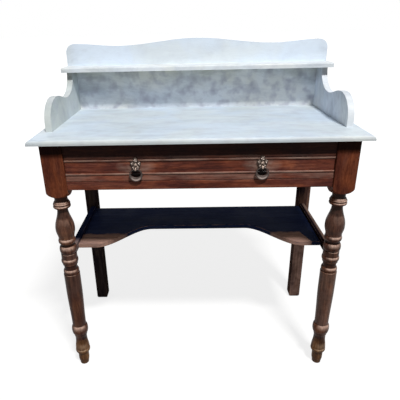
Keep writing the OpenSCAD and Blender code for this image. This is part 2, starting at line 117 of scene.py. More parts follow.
def stained_wood(name, along, tones, shift, polish, shine, flush=0.8, rubbed_and_lit=None,
                 rub_and_light_tone=colour(0.30, 0.185, 0.135), rub_and_light=0.5, shaded=None,
                 shade_tone=colour(0.35, 0.3, 0.3)):
    """Wood whose grain runs along one axis, in three tones from dark to light.

    It is darkened where the shaded function says, which on some pieces is painted shade, and above
    that its arrises and the places that its paler-wood function picks show the paler wood: wear, and
    on some pieces painted light and painted highlights."""
    wood = bpy.data.materials.new(name)
    wood.use_nodes = True
    tree = wood.node_tree
    finish = tree.nodes["Principled BSDF"]
    place = add(tree, "ShaderNodeTexCoord").outputs["Object"]
    # Figure, streaks and pores are drawn out along the grain, patches less so, and stain not at all.
    fibre, loose = (
        add(tree, "ShaderNodeMapping", [
            ("Vector", place), ("Location", shift),
            ("Scale", [drawn_out if axis == along else 1.0 for axis in "xyz"])]).outputs[0]
        for drawn_out in (0.08, 0.3))
    figure = noise(tree, fibre, 26.0, 3.0, 0.5, 1.4)
    streak = noise(tree, fibre, 170.0, 5.0, 0.62, 0.5)
    pore = noise(tree, fibre, 1150.0, 2.0, 0.5)
    stain = noise(tree, place, 11.0, 4.0, 0.6, 0.6)
    patch = noise(tree, loose, 34.0, 4.0, 0.6, 0.5)
    rings = sums(tree, "SINE", times(tree, figure, 46.0))
    depth = times(tree, rings, 0.022)
    for layer, share in ((stain, 0.26), (streak, 0.42), (figure, 0.42)):
        depth = sums(tree, "ADD", times(tree, layer, share), depth)
    ramp = add(tree, "ShaderNodeValToRGB", [("Fac", between(tree, depth, 0.40, 0.70))])
    steps = ramp.color_ramp.elements
    steps[0].color, steps[1].color = tones[0], tones[2]
    steps[0].position, steps[1].position = 0.08, 0.95
    steps.new(0.5).color = tones[1]
    pits = between(tree, pore, 0.36, 0.5, 0.6, 1.0)
    grey = add(tree, "ShaderNodeCombineColor", [(0, pits), (1, pits), (2, pits)]).outputs[0]
    grained = tint(tree, 1.0, ramp.outputs[0], grey, "MULTIPLY")
    glow = tint(tree, between(tree, patch, 0.40, 0.62),
                colour(0.66, 0.56, 0.66), colour(1.4, 1.2, 0.95))
    grained = tint(tree, flush, grained, glow, "MULTIPLY")
    if shaded is not None:
        grained = tint(tree, shaded(tree, place), grained, shade_tone, "MULTIPLY")
    arris = add(tree, "ShaderNodeAttribute", attribute_name="arris").outputs["Fac"]
    edges = times(tree, arris, between(tree, noise(tree, place, 38.0, 4.0, 0.7), 0.42, 0.62))
    worn = edges
    if rubbed_and_lit is not None:
        worn = larger(tree, edges, rubbed_and_lit(tree, place))
    worn = times(tree, worn, between(tree, streak, 0.3, 0.62, 0.45, 1.0))
    worn = times(tree, worn, rub_and_light)
    tree.links.new(tint(tree, worn, grained, rub_and_light_tone), finish.inputs["Base Color"])
    tree.links.new(between(tree, sums(tree, "ADD", stain, times(tree, pore, 0.35)),
                           0.45, 0.85, polish - 0.06, polish + 0.14), finish.inputs["Roughness"])
    finish.inputs["Specular IOR Level"].default_value = shine
    relief = sums(tree, "ADD", times(tree, streak, 0.5), times(tree, pits, 0.5))
    bump = add(tree, "ShaderNodeBump", [("Strength", 0.25), ("Distance", 0.0005),
                                        ("Height", relief)])
    tree.links.new(bump.outputs[0], finish.inputs["Normal"])
    return wood


def settle(piece, body, slot, *stands_for):
    """Seats a finished piece on its body and hides the model pieces that it stands for.
    The slot is not used.
    """
    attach(piece, body)
    if stands_for:
        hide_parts(*stands_for)
    return piece


def arc(cx, cy, rx, ry, a0, a1, n):
    """Points along part of an oval, between two angles in degrees."""
    return [(cx + rx * math.cos(math.radians(a0 + (a1 - a0) * i / n)),
             cy + ry * math.sin(math.radians(a0 + (a1 - a0) * i / n))) for i in range(n + 1)]


foot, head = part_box("front_leg_right")
leg_x, leg_y = (foot.x + head.x) / 2, (foot.y + head.y) / 2
block_half = (head.x - foot.x) / 2
block_height = 0.140
turned = head.z - block_height
# Heights along the outline are counted in 634ths of the turned length.
unit = turned / 634
foot_top, shaft_low, shaft_high, vase_low, vase_high, shoulder_low, shoulder_high = (
    104, 162, 357, 482, 574, 616, 648)
bead_r, neck_r, shaft_r, vase_r, drum_r, groove_r, peg_r = (
    0.0258, 0.0165, 0.0244, 0.0278, 0.0233, 0.0206, 0.017)


def bead(low, high, edge, full):
    """A half-round member."""
    return [(edge + (full - edge) * math.sin(math.pi * i / 14),
             unit * ((low + high) / 2 - (high - low) / 2 * math.cos(math.pi * i / 14)))
            for i in range(15)]


def swell(low, r_low, high, r_high):
    """A member that passes from one radius to another in a soft S."""
    return [(r_high + (r_low - r_high) * (1 + math.cos(math.pi * i / 16)) / 2,
             unit * (low + (high - low) * i / 16)) for i in range(17)]


def straight(low, r_low, high, r_high):
    """A plain or tapered member."""
    n = max(1, round((high - low) / 12))
    return [(r_low + (r_high - r_low) * i / n, unit * (low + (high - low) * i / n))
            for i in range(n + 1)]


edge_r, fillet_r, small_r, ankle_r, vase_neck = (
    0.83 * bead_r, 0.87 * bead_r, 0.91 * bead_r, 1.12 * neck_r, 0.55 * vase_r)
# The shoulder's curve runs on past the corner of the block, and the block's last row is just below
# its flat end.
past_corner, lid = 0.0019, 0.0004
shoulder_reach = math.sqrt(2) * block_half - ankle_r + past_corner
block_low = shoulder_high * unit
leg_outline = (
    # The peg, with a small bead over it.
    [(0.0, 0.0)] + swell(0, 0.82 * peg_r, 22, peg_r) + swell(34, peg_r, 49.5, 1.07 * peg_r)
    + bead(50, 64, groove_r, small_r)
    # The ankle, and the large bead that ends the foot.
    + swell(64.3, fillet_r, 103, ankle_r) + straight(foot_top, ankle_r, 109, ankle_r)
    + swell(109.5, ankle_r, 126, edge_r) + bead(127, 159, edge_r, bead_r)
    + straight(160, groove_r, 161.5, groove_r)
    # The tapered shaft, and the members between it and the drum that takes the stretcher.
    + swell(shaft_low, 0.875 * shaft_r, 300, shaft_r) + straight(301, shaft_r, shaft_high, shaft_r)
    + straight(357.5, groove_r, 358.5, groove_r) + bead(359, 374, groove_r, small_r)
    + straight(375, 0.94 * groove_r, 390, 0.94 * groove_r)
    + straight(391.5, fillet_r, 396, fillet_r) + bead(397, 412, fillet_r, 0.98 * bead_r)
    + straight(413, drum_r, 429, drum_r)
    # The members over the drum, and the vase.
    + straight(429.5, edge_r, 431, edge_r) + bead(431.5, 455, edge_r, 0.98 * bead_r)
    + straight(456, 0.87 * groove_r, 463, 0.87 * groove_r) + bead(464, 481, groove_r, 0.97 * bead_r)
    + swell(vase_low, 0.83 * vase_r, 509, vase_r) + swell(515, vase_r, vase_high, vase_neck)
    # The twin beads at the neck, and the shoulder that runs up into the block.
    + swell(575, vase_neck, 580, fillet_r) + bead(580.1, 588, fillet_r, 0.97 * bead_r)
    + bead(588.5, 595, fillet_r, 0.95 * bead_r) + swell(595.5, fillet_r, 605, ankle_r)
    + straight(605.5, ankle_r, shoulder_low, ankle_r)
    + arc(ankle_r, block_low, shoulder_reach, (shoulder_high - shoulder_low) * unit, -88, 0, 40)
    + [(2 * block_half, block_low + (head.z - lid - block_low) * i / 10) for i in range(1, 11)]
    + [(2 * block_half, head.z), (0.0, head.z)]
)

# The lathe spins an outline of radius and height round an axis, and where it runs outside the
# square that the leg is cut from, the square stays. Crowding draws its points to the corners.
lathe = bpy.data.node_groups.new("lathe", "GeometryNodeTree")
lathe.is_modifier = True
for label, kind, usual in (("Outline", "NodeSocketGeometry", None), ("Sides", "NodeSocketInt", 96),
                           ("Half square", "NodeSocketFloat", block_half),
                           ("Arris", "NodeSocketFloat", 60.0), ("Crowding", "NodeSocketFloat", 0.8),
                           ("Axis", "NodeSocketVector", (0.0, 0.0, 0.0)),
                           ("Finish", "NodeSocketMaterial", None)):
    socket = lathe.interface.new_socket(label, in_out="INPUT", socket_type=kind)
    if usual is not None:
        socket.default_value = usual
lathe.interface.new_socket("Turning", in_out="OUTPUT", socket_type="NodeSocketGeometry")
given = add(lathe, "NodeGroupInput").outputs
rows = add(lathe, "GeometryNodeAttributeDomainSize", [(0, given["Outline"])],
           component="MESH").outputs["Point Count"]
blank = add(lathe, "GeometryNodeMeshGrid",
            [("Vertices X", sums(lathe, "ADD", given["Sides"], 1.0)), ("Vertices Y", rows)])
index = add(lathe, "GeometryNodeInputIndex").outputs[0]
row = sums(lathe, "MODULO", index, rows)
turn = times(lathe, sums(lathe, "FLOOR", sums(lathe, "DIVIDE", index, rows)),
             sums(lathe, "DIVIDE", 2 * math.pi, given["Sides"]))
crowd = times(lathe, sums(lathe, "SINE", times(lathe, turn, 4.0)),
              times(lathe, given["Crowding"], 0.25))
angle = sums(lathe, "ADD", turn, crowd)
across, deep = sums(lathe, "COSINE", angle), sums(lathe, "SINE", angle)
squarish = sums(lathe, "ADD",
                sums(lathe, "POWER", sums(lathe, "ABSOLUTE", across), given["Arris"]),
                sums(lathe, "POWER", sums(lathe, "ABSOLUTE", deep), given["Arris"]))
square = times(lathe, given["Half square"],
               sums(lathe, "POWER", squarish, sums(lathe, "DIVIDE", -1.0, given["Arris"])))
drawn = add(lathe, "GeometryNodeInputPosition").outputs[0]
point = add(lathe, "GeometryNodeSampleIndex",
            [("Geometry", given["Outline"]), ("Value", drawn), ("Index", row)],
            data_type="FLOAT_VECTOR", domain="POINT", clamp=True)
tool = split(lathe, point.outputs[0])
radius = sums(lathe, "MINIMUM", tool[0], square)
skin = add(lathe, "ShaderNodeCombineXYZ", [(0, times(lathe, radius, across)),
                                           (1, times(lathe, radius, deep)), (2, tool[2])])
placed = add(lathe, "ShaderNodeVectorMath", [(0, skin.outputs[0]), (1, given["Axis"])],
             operation="ADD")
cut = add(lathe, "GeometryNodeSetPosition", [("Geometry", blank.outputs["Mesh"]),
                                             ("Position", placed.outputs[0])])
weld = 2e-5
closed = add(lathe, "GeometryNodeMergeByDistance", [("Geometry", cut.outputs[0]), ("Distance", weld)])
whole = add(lathe, "GeometryNodeRealizeInstances", [(0, closed.outputs[0])])
stained = add(lathe, "GeometryNodeSetMaterial", [("Geometry", whole.outputs[0]),
                                                 ("Material", given["Finish"])])
add(lathe, "NodeGroupOutput", [(0, stained.outputs[0])])
crisp = math.radians(38)


def made_by(tree, name, start, **inputs):
    """Runs a node tree on a starting mesh and keeps the result as a plain piece."""
    rough = bpy.data.objects.new(name + "_rough", start)
    bpy.context.scene.collection.objects.link(rough)
    work = rough.modifiers.new("work", "NODES")
    work.node_group = tree
    for item in tree.interface.items_tree:
        label = item.name.lower()
        if item.in_out == "INPUT" and label in inputs:
            work[item.identifier] = inputs[label]
    graph = bpy.context.evaluated_depsgraph_get()
    mesh = bpy.data.meshes.new_from_object(rough.evaluated_get(graph))
    bpy.data.objects.remove(rough)
    mesh.name = name
    mesh.materials.clear()
    mesh.materials.append(inputs["finish"])
    for face in mesh.polygons:
        face.material_index = 0
    mesh.shade_smooth()
    mesh.set_sharp_from_angle(angle=crisp)
    piece = bpy.data.objects.new(name, mesh)
    bpy.context.scene.collection.objects.link(piece)
    return piece


def from_axis(tree, place, x, y):
    """Distance from a leg's upright axis, and height above the floor."""
    flat = add(tree, "ShaderNodeVectorMath", [(0, place), (1, (x, y, 0.0))], operation="SUBTRACT")
    out = add(tree, "ShaderNodeVectorMath", [(0, flat.outputs[0]), (1, (1.0, 1.0, 0.0))],
              operation="MULTIPLY")
    reach = add(tree, "ShaderNodeVectorMath", [(0, out.outputs[0])], operation="LENGTH")
    return reach.outputs["Value"], split(tree, place)[2]


def on_shaft(tree, height, share):
    """A share on the tapered shaft of a turned leg, and none above or below it."""
    return times(tree, between(tree, height, (shaft_low - 4) * unit, shaft_low * unit),
                 between(tree, height, (shaft_high + 2) * unit, shaft_high * unit, 0.0, share))


def turned_wear_and_highlight(x, y, scuffed):
    """Where a turned leg is paler: on the upper front of each bead, rubbed where it stands proud and
    painted as a highlight on the faces turned towards the lamp; little on its vase; and a share on
    the shaft."""
    def worn(tree, place):
        reach, height = from_axis(tree, place, x, y)
        # A painted highlight: faces turned up, to the front and a little to the right, towards the
        # lamp.
        facing = split(tree, add(tree, "ShaderNodeTexCoord").outputs["Normal"])
        rightward, forward, not_nought = 0.17, 0.985, 1.02
        front = sums(tree, "SUBTRACT", times(tree, facing[0], rightward),
                     times(tree, facing[1], forward))
        steep = times(tree, facing[2], facing[2])
        round_share = sums(tree, "SQRT", sums(tree, "SUBTRACT", not_nought, steep))
        proud = times(tree, between(tree, facing[2], -0.02, 0.32),
                      between(tree, sums(tree, "DIVIDE", front, round_share), 0.45, 0.9))
        proud = times(tree, proud, between(tree, reach, 0.0195, 0.0215))
        vase = times(tree, between(tree, height, vase_low * unit, (vase_low + 2) * unit),
                     between(tree, height, (vase_high + 2) * unit, (vase_high - 2) * unit))
        proud = larger(tree, times(tree, vase, 0.06),
                       times(tree, proud, between(tree, vase, 0.0, 1.0, 1.0, 0.2)))
        proud = larger(tree, proud, on_shaft(tree, height, scuffed))
        patchy = between(tree, noise(tree, place, 60.0, 4.0, 0.65), 0.3, 0.55, 0.45, 1.0)
        return times(tree, proud, patchy)
    return worn


def turned_hollows(x, y, shaft_darkening):
    """Where a turned leg is darkened: in the necks, less near the foot, and a share on the shaft."""
    def dark(tree, place):
        reach, height = from_axis(tree, place, x, y)
        neck = times(tree, between(tree, reach, 0.0218, 0.0190),
                     between(tree, height, 0.07, 0.13, 0.15, 1.0))
        return larger(tree, on_shaft(tree, height, shaft_darkening), neck)
    return dark


leg_tones = [colour(0.024, 0.008, 0.004), colour(0.088, 0.035, 0.020), colour(0.165, 0.080, 0.050)]
foot_tones = [colour(0.060, 0.030, 0.014), colour(0.150, 0.078, 0.036), colour(0.300, 0.185, 0.105)]
block_tones = [colour(0.086, 0.024, 0.014), colour(0.143, 0.045, 0.024), colour(0.207, 0.076, 0.042)]
for side, x, shaft_darkening, scuffed in (("left", -leg_x, 0.45, 0.0), ("right", leg_x, 0.0, 0.14)):
    outline = bpy.data.meshes.new("leg_outline")
    outline.from_pydata([(r, 0.0, z) for r, z in leg_outline],
                        [(i, i + 1) for i in range(len(leg_outline) - 1)], [])
    rubbed_and_lit, dark = turned_wear_and_highlight(x, leg_y, scuffed), turned_hollows(x, leg_y, shaft_darkening)
    stain = stained_wood(f"turned_leg_{side}", "z", leg_tones, (x, 0.31 * x, 0.0),
                         polish=0.32, shine=0.08, rubbed_and_lit=rubbed_and_lit,
                         rub_and_light_tone=colour(0.66, 0.45, 0.36), rub_and_light=0.9, shaded=dark)
    foot_end = stained_wood(f"leg_foot_{side}", "z", foot_tones, (1.7 * x, 0.5, 0.2),
                            polish=0.4, shine=0.06, rubbed_and_lit=rubbed_and_lit,
                            rub_and_light_tone=colour(0.60, 0.42, 0.28), rub_and_light=0.7, shaded=dark)
    # The upper end of the block is painted dark, as painted shadow of the marble top.
    block = stained_wood(f"leg_block_{side}", "z", block_tones, (x, 0.31 * x, 0.0),
                         polish=0.45, shine=0.02, shaded=grows("z", head.z - 0.034, head.z - 0.027),
                         shade_tone=colour(0.12, 0.14, 0.2))
    leg = made_by(lathe, f"turned_leg_{side}", outline, axis=(x, leg_y, 0.0), finish=stain)
    leg.data.materials.append(block)
    leg.data.materials.append(foot_end)
    for face in leg.data.polygons:
        if face.center.z > shoulder_low * unit:
            face.material_index = 1
        elif face.center.z < foot_top * unit:
            face.material_index = 2
    settle(leg, "stand", "leg_wood", f"front_leg_{side}")

# ---- Back legs ----
# The back legs are plain square posts, planed, with their arrises taken off. The left one is near
# black, its tones painted shade; the right one is brown, paler on its lower half in scuffed patches
# that are also painted light, and darkened on the inner half of its upper part by painted shadow.


def eased(name, source, finish, body, slot, arris, steps=2):
    """A copy of a model piece with its sharp arrises taken off, as a plane and use leave them."""
    shape = bmesh.new()
    shape.from_mesh(node[source].data)
    worn = shape.faces.layers.float.new("arris")
    bmesh.ops.remove_doubles(shape, verts=shape.verts, dist=2e-6)
    bmesh.ops.dissolve_limit(shape, angle_limit=math.radians(1.0), verts=shape.verts,
                             edges=shape.edges)
    least_turn = math.radians(32)
    sharp = [e for e in shape.edges if len(e.link_faces) == 2 and e.is_convex
             and e.calc_face_angle(0.0) > least_turn]
    cut = bmesh.ops.bevel(shape, geom=sharp, offset=arris, segments=steps, profile=0.5,
                          affect="EDGES", clamp_overlap=True)
    for f in cut["faces"]:
        f[worn] = 1.0
    mesh = bpy.data.meshes.new(name)
    shape.to_mesh(mesh)
    shape.free()
    mesh.shade_smooth()
    mesh.set_sharp_from_angle(angle=crisp)
    rough = bpy.data.objects.new(name + "_rough", mesh)
    bpy.context.scene.collection.objects.link(rough)
    rough.modifiers.new("flat", "WEIGHTED_NORMAL").keep_sharp = True
    graph = bpy.context.evaluated_depsgraph_get()
    smooth = bpy.data.meshes.new_from_object(rough.evaluated_get(graph))
    bpy.data.objects.remove(rough)
    smooth.materials.clear()
    smooth.materials.append(finish)
    piece = bpy.data.objects.new(name, smooth)
    bpy.context.scene.collection.objects.link(piece)
    return settle(piece, body, slot, source)


back_tones = [colour(0.021, 0.018, 0.020), colour(0.044, 0.034, 0.035), colour(0.090, 0.073, 0.070)]
worn_tones = [colour(0.040, 0.023, 0.019), colour(0.085, 0.049, 0.043), colour(0.16, 0.098, 0.082)]


def scuffs_and_light_low(tree, place):
    """The lower half of a back leg, paler in scuffed patches that are also painted light."""
    return times(tree, grows("z", 0.42, 0.26)(tree, place),
                 between(tree, noise(tree, place, 30.0, 4.0, 0.65), 0.35, 0.6, 0.3, 1.0))


def shadow_on_inner_half(tree, place):
    """The inner half of the right back leg above the undershelf, darkened as painted shadow."""
    post_low, post_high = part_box("back_leg_right")
    middle = (post_low.x + post_high.x) / 2
    return times(tree, grows("x", middle + 0.0015, middle - 0.0025)(tree, place),
                 grows("z", 0.43, 0.47)(tree, place))


for side, hand, tones, scuff_and_light, dark in (("left", -1, back_tones, None, None),
                                       ("right", 1, worn_tones, scuffs_and_light_low, shadow_on_inner_half)):
    post = stained_wood(f"back_leg_{side}", "z", tones, (0.7 * hand, 0.2, 0.4),
                        polish=0.45, shine=0.0, rubbed_and_lit=scuff_and_light,
                        rub_and_light_tone=colour(0.28, 0.175, 0.14), rub_and_light=0.6,
                        shaded=dark, shade_tone=colour(0.22, 0.24, 0.34))
    eased(f"square_leg_{side}", f"back_leg_{side}", post, "stand", "leg_wood", arris=0.0022)

# ---- Aprons and rails ----
# Boards of reddish wood tenoned into the legs: one at each end, one behind, and a rail over and
# under the drawer. The rail under the marble is darkest, its tones painted shade.
show_tones = [colour(0.050, 0.013, 0.009), colour(0.135, 0.038, 0.023), colour(0.235, 0.088, 0.054)]
painted_shade_rail_tones = [colour(0.010, 0.004, 0.004), colour(0.022, 0.009, 0.008), colour(0.042, 0.018, 0.014)]
for side, hand in (("left", -1), ("right", 1)):
    board = stained_wood(f"end_board_{side}", "y", show_tones, (0.3 * hand, 0.9, 0.1),
                         polish=0.32, shine=0.08)
    eased(f"end_board_{side}", f"side_apron_{side}", board, "stand", "show_wood", arris=0.001)
for name, source, tones, shift, polish, shine, rub_and_light, arris in (
        ("back_board", "back_apron", back_tones, (0.1, 0.5, 0.7), 0.6, 0.06, 0.5, 0.001),
        ("rail_over_drawer", "top_rail", painted_shade_rail_tones, (0.4, 0.1, 0.2), 0.4, 0.04, 0.5, 0.001),
        ("rail_under_drawer", "bottom_rail", show_tones, (0.9, 0.6, 0.3), 0.3, 0.08, 0.2, 0.0016)):
    board = stained_wood(name, "x", tones, shift, polish=polish, shine=shine, rub_and_light=rub_and_light)
    eased(name, source, board, "stand", "show_wood", arris=arris)

# ---- What the drawer runs in ----
# Runners, guides, kickers and stops are of plain pale wood, left unstained and rubbed smooth where
# the drawer slides; four glued blocks stiffen the corners.


def dress(part, finish):
    """Gives a piece that keeps the model's own mesh its finish."""
    node[part].data.materials.clear()
    node[part].data.materials.append(finish)


raw_tones = [colour(0.20, 0.115, 0.060), colour(0.34, 0.215, 0.125), colour(0.46, 0.32, 0.20)]
along_y = stained_wood("raw_wood_lengthways", "y", raw_tones, (0.2, 0.3, 0.5),
                       polish=0.6, shine=0.25, flush=0.3)
along_x = stained_wood("raw_wood_crossways", "x", raw_tones, (0.5, 0.1, 0.8),
                       polish=0.6, shine=0.25, flush=0.3)
for part in ("runner", "guide", "kicker"):
    dress(f"drawer_{part}_left", along_y)
    dress(f"drawer_{part}_right", along_y)
dress("drawer_stops", along_x)
dress("corner_blocks", along_x)

# ---- Stretchers ----
# A rail between the front and back leg at each end, tenoned into both and coped to the drum of the
# turned one. The left one is painted shade, with painted light at its front end; the right one has
# painted light on its outer half and painted shadow on its inner half, as dark as the undershelf
# that it holds.
# Near-black navy tones: painted shade, with the blue of painted sky reflection.
painted_shade_navy_tones = [colour(0.011, 0.020, 0.060), colour(0.018, 0.031, 0.092), colour(0.029, 0.043, 0.112)]


def painted_light_front(low, high, lean=0.0, start=0.0):
    """Painted light at the front of a board, its edge ragged; past start, its edge leans away to the
    front.
    """
    def worn(tree, place):
        x, y = split(tree, place)[:2]
        past = larger(tree, sums(tree, "SUBTRACT", x, start), 0.0)
        ragged = sums(tree, "ADD", sums(tree, "ADD", y, times(tree, past, lean)),
                      between(tree, noise(tree, place, 40.0, 3.0, 0.6), 0.3, 0.7, -0.004, 0.004))
        return between(tree, ragged, high, low)
    return worn


rail_low, rail_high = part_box("stretcher_right")
middle = (rail_low.x + rail_high.x) / 2
# Light is painted on the front of the left rail and the outer half of the right one; shadow on its
# inner half.
for side, hand, tones, worn, dark in (
        ("left", -1, painted_shade_navy_tones, painted_light_front(-0.10, -0.07), None),
        ("right", 1, worn_tones, grows("x", middle - 0.001, middle + 0.002),
         grows("x", middle + 0.001, middle - 0.002))):
    rail = stained_wood(f"stretcher_{side}", "y", tones, (0.6 * hand, 0.4, 0.9),
                        polish=0.5, shine=0.0, flush=0.5, rubbed_and_lit=worn,
                        rub_and_light_tone=colour(0.30, 0.205, 0.165), rub_and_light=0.8,
                        shaded=dark, shade_tone=colour(0.2, 0.22, 0.34))
    eased(f"end_rail_{side}", f"stretcher_{side}", rail, "stand", "show_wood", arris=0.0012)

# ---- Undershelf ----
# One wide board tongued into the stretchers, its front sawn to a long hollow between two lobes.
# Under the drawer it is nearly black navy, painted shade with the blue of a reflected sky, and it
# is brown on the two lobes, where light is painted.
# The two lobes take painted light in front of the line where painted shade begins.
lobe_start, lobe_lean = 0.336, 3.0
board = stained_wood("undershelf_board", "x", painted_shade_navy_tones, (0.2, 0.8, 0.6), polish=0.5, shine=0.012,
                     flush=0.5, rubbed_and_lit=painted_light_front(-0.036, -0.026, lobe_lean, lobe_start),
                     rub_and_light_tone=colour(0.46, 0.275, 0.205), rub_and_light=0.97)
eased("undershelf_board", "undershelf", board, "stand", "show_wood", arris=0.0016)

# ---- Drawer ----
# The front has a bead above and below a sunk field; the sides are lap-dovetailed to it, the bottom
# slides in grooves and is nailed up to the back.
face_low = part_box("drawer_front")[0]
plate_low, plate_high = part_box("pull_plate_right")
pull_x = (plate_low.x + plate_high.x) / 2
leaf_waist, leaf_lobe, leaf_point = 0.0105, 0.005, 0.3
plate_z = plate_high.z - (1 + leaf_point) * (leaf_waist + leaf_lobe)


def from_pull(tree, place, height, wide=1.0, tall=1.0):
    """Distance along the drawer front from the middle of the nearer pull, at a height."""
    x, _, z = split(tree, place)
    aside = sums(tree, "SUBTRACT", sums(tree, "ABSOLUTE", x), pull_x)
    above = sums(tree, "SUBTRACT", z, height)
    away = add(tree, "ShaderNodeCombineXYZ", [(0, times(tree, aside, wide)),
                                              (2, times(tree, above, tall))])
    reach = add(tree, "ShaderNodeVectorMath", [(0, away.outputs[0])], operation="LENGTH")
    return reach.outputs["Value"]


def painted_ring_shadow(tree, place):
    """A painted shadow: the darkened patch of drawer front behind each ring."""
    hole_z = plate_z - 0.026
    return between(tree, from_pull(tree, place, hole_z, tall=1.2), 0.0160, 0.0125)


def drawer_wear_and_highlight(tree, place):
    """Paler along the crests of the beads, rubbed and also painted as their highlight; rubbed by
    fingers round each plate, and along the foot; none in the painted shadow behind the rings.
    """
    _, y, z = split(tree, place)
    along = add(tree, "ShaderNodeMapping", [("Vector", place),
                                            ("Scale", (0.35, 1.0, 1.0))]).outputs[0]
    foot_z = face_low.z + 0.015
    # Along the bead crests the paler wood is also a painted highlight.
    crest = times(tree, between(tree, y, face_low.y + 0.0019, face_low.y + 0.0007),
                  between(tree, z, foot_z - 0.0005, foot_z + 0.0005))
    crest = times(tree, crest, between(tree, noise(tree, along, 45.0, 4.0, 0.6), 0.35, 0.6, 0.25, 1.0))
    plate_foot = plate_z - 0.006
    touch = between(tree, from_pull(tree, place, plate_foot, 0.7, 1.6), 0.040, 0.016, 0.0, 0.8)
    fingers = times(tree, touch,
                    between(tree, noise(tree, along, 60.0, 4.0, 0.65), 0.36, 0.56, 0.1, 1.0))
    band = times(tree, between(tree, z, foot_z, foot_z - 0.001),
                 between(tree, noise(tree, along, 30.0, 4.0, 0.6), 0.40, 0.58, 0.05, 0.40))
    rubbed_and_lit = larger(tree, band, larger(tree, crest, fingers))
    return times(tree, rubbed_and_lit, between(tree, painted_ring_shadow(tree, place), 0.0, 1.0, 1.0, 0.0))


board = stained_wood("moulded_drawer_front", "x", show_tones, (0.05, 0.35, 0.15), polish=0.28,
                     shine=0.1, flush=0.9, rubbed_and_lit=drawer_wear_and_highlight,
                     rub_and_light_tone=colour(0.37, 0.245, 0.195), rub_and_light=0.9,
                     shaded=painted_ring_shadow, shade_tone=colour(0.05, 0.04, 0.05))
eased("moulded_drawer_front", "drawer_front", board, "drawer", "show_wood", arris=0.0005)
for part, wood in (("side_left", along_y), ("side_right", along_y), ("back", along_x),
                   ("bottom", along_x)):
    eased(f"drawer_box_{part}", f"drawer_{part}", wood, "drawer", "inner_wood", 0.0005, steps=1)

# ---- Ring pulls ----
# Two small cast brass pulls, gone nearly black: a plate of five leaves with berries, an eye below
# it, a bolt through the middle, and a ring that is thick at its foot, worn bright there and painted
# with a highlight.


def cast_brass(name, dull, bright, rubbed_and_lit):
    """Cast brass, nearly black in the hollows and bright where it is rubbed, and on the rings also
    where a highlight is painted.
    """
    brass = bpy.data.materials.new(name)
    brass.use_nodes = True
    tree = brass.node_tree
    finish = tree.nodes["Principled BSDF"]
    place = add(tree, "ShaderNodeTexCoord").outputs["Object"]
    spots = noise(tree, place, 420.0, 4.0, 0.6)
    proud = times(tree, rubbed_and_lit(tree, place), between(tree, spots, 0.3, 0.6, 0.5, 1.0))
    tree.links.new(tint(tree, proud, dull, bright), finish.inputs["Base Color"])
    tree.links.new(between(tree, proud, 0.0, 1.0, 0.5, 0.3), finish.inputs["Roughness"])
    finish.inputs["Metallic"].default_value = 0.85
    bump = add(tree, "ShaderNodeBump", [("Strength", 0.2), ("Distance", 0.0003), ("Height", spots)])
    tree.links.new(bump.outputs[0], finish.inputs["Normal"])
    return brass


brass = cast_brass("pull_brass", colour(0.050, 0.036, 0.029), colour(0.36, 0.275, 0.225),
                   grows("y", face_low.y - 0.0020, face_low.y - 0.0036))
berry_brass = cast_brass("berry_brass", colour(0.08, 0.06, 0.05), colour(0.52, 0.43, 0.38),
                         grows("y", face_low.y - 0.0026, face_low.y - 0.0042))
iron = cast_brass("nut_iron", colour(0.06, 0.055, 0.05), colour(0.2, 0.19, 0.18),
                  grows("y", -0.17, -0.18))
dress("pull_bolts", brass)
dress("pull_nuts", iron)
dress("splash_dowels", iron)

eye_y, eye_z = face_low.y - 0.008, plate_z - 0.011


def leaf_radius(a):
    """How far the edge of the plate is from its bolt: five lobes, the upper one longer."""
    spread = leaf_waist + leaf_lobe * abs(math.cos(2.5 * (a - math.pi / 2)))
    return spread * (1 + leaf_point * max(0.0, math.sin(a)) ** 6)


def leaf_relief(a, t):
    """How far the leaves stand out at a share t of the way from the bolt to their edge."""
    across = (2.5 * (a - math.pi / 2) / math.pi + 0.5) % 1.0 - 0.5
    edge, rise, dome = 0.0009, 0.0021, 0.0
    if t < 1:
        dome = math.sin(math.pi * t ** 1.5) ** 0.7 * math.cos(math.pi * across) ** 0.8
    rib = 1 + 0.22 * math.cos(8 * math.pi * across) * t
    return edge + rise * dome * rib


def shell(rows, capped=True):
    """The points and faces of a skin drawn through loops of points. Its two ends are capped, or the
    last loop joins the first."""
    n = len(rows[0])
    faces = [(i * n + j, i * n + (j + 1) % n, (i + 1) * n + (j + 1) % n, (i + 1) * n + j)
             for i in range(len(rows) - 1) for j in range(n)]
    if capped:
        faces += [tuple(range(n - 1, -1, -1)), tuple((len(rows) - 1) * n + j for j in range(n))]
    else:
        faces += [((len(rows) - 1) * n + j, (len(rows) - 1) * n + (j + 1) % n, (j + 1) % n, j)
                  for j in range(n)]
    return [p for row in rows for p in row], faces


def from_shells(name, shells, finish):
    """One piece from several closed skins."""
    points, faces = [], []
    for some, around in shells:
        faces += [tuple(i + len(points) for i in face) for face in around]
        points += some
    mesh = bpy.data.meshes.new(name)
    mesh.from_pydata(points, [], faces)
    shape = bmesh.new()
    shape.from_mesh(mesh)
    bmesh.ops.recalc_face_normals(shape, faces=shape.faces)
    shape.to_mesh(mesh)
    shape.free()
    mesh.shade_smooth()
    mesh.set_sharp_from_angle(angle=math.radians(50))
    mesh.materials.append(finish)
    piece = bpy.data.objects.new(name, mesh)
    bpy.context.scene.collection.objects.link(piece)
    return piece


def turn_of(n):
    """The angles of one full turn in n steps."""
    return [2 * math.pi * j / n for j in range(n)]


